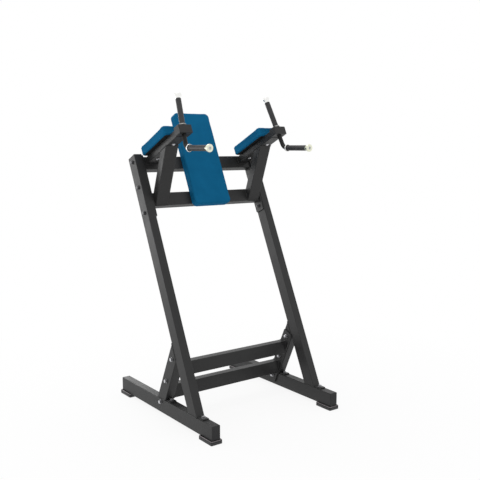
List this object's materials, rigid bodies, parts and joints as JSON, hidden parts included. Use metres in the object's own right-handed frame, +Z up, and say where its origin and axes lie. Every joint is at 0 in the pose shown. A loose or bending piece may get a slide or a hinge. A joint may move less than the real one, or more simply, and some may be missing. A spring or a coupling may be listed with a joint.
{
  "type": "dip and knee raise station",
  "caption": "Free-standing leaning steel frame with a back pad, padded arm rests, bent handles for dips and knee raises, and low cross beams to step on.",
  "frame": {"origin": "on the floor, at the middle of the footprint", "axes": "+Z up; +X from the left side frame to the right one; the user stands on the -Y side and leans back towards +Y"},
  "size_m": [0.8946, 1, 1.803],
  "materials": {
    "charcoal_powder_coat": "satin powder coat",
    "zinc_plated_steel": "zinc plated",
    "black_plastic": "matt, moulded",
    "black_rubber": "matt",
    "satin_aluminium": "satin turned",
    "blue_vinyl": "fine-grained vinyl",
    "black_board": "matt black"
  },
  "bodies": {
    "root": {"base_rail_left": "charcoal_powder_coat", "base_rail_right": "charcoal_powder_coat", "upright_left": "charcoal_powder_coat", "upright_right": "charcoal_powder_coat", "rear_brace_left": "charcoal_powder_coat", "rear_brace_right": "charcoal_powder_coat", "upper_cross_beam": "charcoal_powder_coat", "middle_cross_beam": "charcoal_powder_coat", "step_beam_upper": "charcoal_powder_coat", "step_beam_lower": "charcoal_powder_coat", "side_plate_upper_left": "charcoal_powder_coat", "side_plate_upper_right": "charcoal_powder_coat", "side_plate_lower_left": "charcoal_powder_coat", "side_plate_lower_right": "charcoal_powder_coat", "arm_beam_left": "charcoal_powder_coat", "arm_beam_right": "charcoal_powder_coat", "arm_strut_left": "charcoal_powder_coat", "arm_strut_right": "charcoal_powder_coat", "handle_bar_left": "charcoal_powder_coat", "handle_bar_right": "charcoal_powder_coat", "side_bolt_upper_left_1": "zinc_plated_steel", "side_bolt_upper_left_2": "zinc_plated_steel", "side_bolt_upper_left_3": "zinc_plated_steel", "side_bolt_upper_right_1": "zinc_plated_steel", "side_bolt_upper_right_2": "zinc_plated_steel", "side_bolt_upper_right_3": "zinc_plated_steel", "side_bolt_lower_left_1": "zinc_plated_steel", "side_bolt_lower_left_2": "zinc_plated_steel", "side_bolt_lower_left_3": "zinc_plated_steel", "side_bolt_lower_right_1": "zinc_plated_steel", "side_bolt_lower_right_2": "zinc_plated_steel", "side_bolt_lower_right_3": "zinc_plated_steel", "upright_end_cap_left": "black_plastic", "upright_end_cap_right": "black_plastic", "rail_end_cap_front_left": "black_plastic", "rail_end_cap_front_right": "black_plastic", "rail_end_cap_rear_left": "black_plastic", "rail_end_cap_rear_right": "black_plastic", "foot_pad_front_left": "black_rubber", "foot_pad_front_right": "black_rubber", "foot_pad_rear_left": "black_rubber", "foot_pad_rear_right": "black_rubber", "handle_grip_upper_left": "black_rubber", "handle_grip_upper_right": "black_rubber", "handle_grip_lower_left": "black_rubber", "handle_grip_lower_right": "black_rubber", "grip_collar_upper_left": "satin_aluminium", "grip_collar_upper_right": "satin_aluminium", "grip_collar_lower_left": "satin_aluminium", "grip_collar_lower_right": "satin_aluminium", "grip_cap_upper_left": "satin_aluminium", "grip_cap_upper_right": "satin_aluminium", "grip_cap_lower_left": "satin_aluminium", "grip_cap_lower_right": "satin_aluminium", "arm_pad_left_cushion": "blue_vinyl", "arm_pad_right_cushion": "blue_vinyl", "back_pad_cushion": "blue_vinyl", "arm_pad_left_board": "black_board", "arm_pad_right_board": "black_board", "back_pad_board": "black_board"}
  },
  "joints": []
}
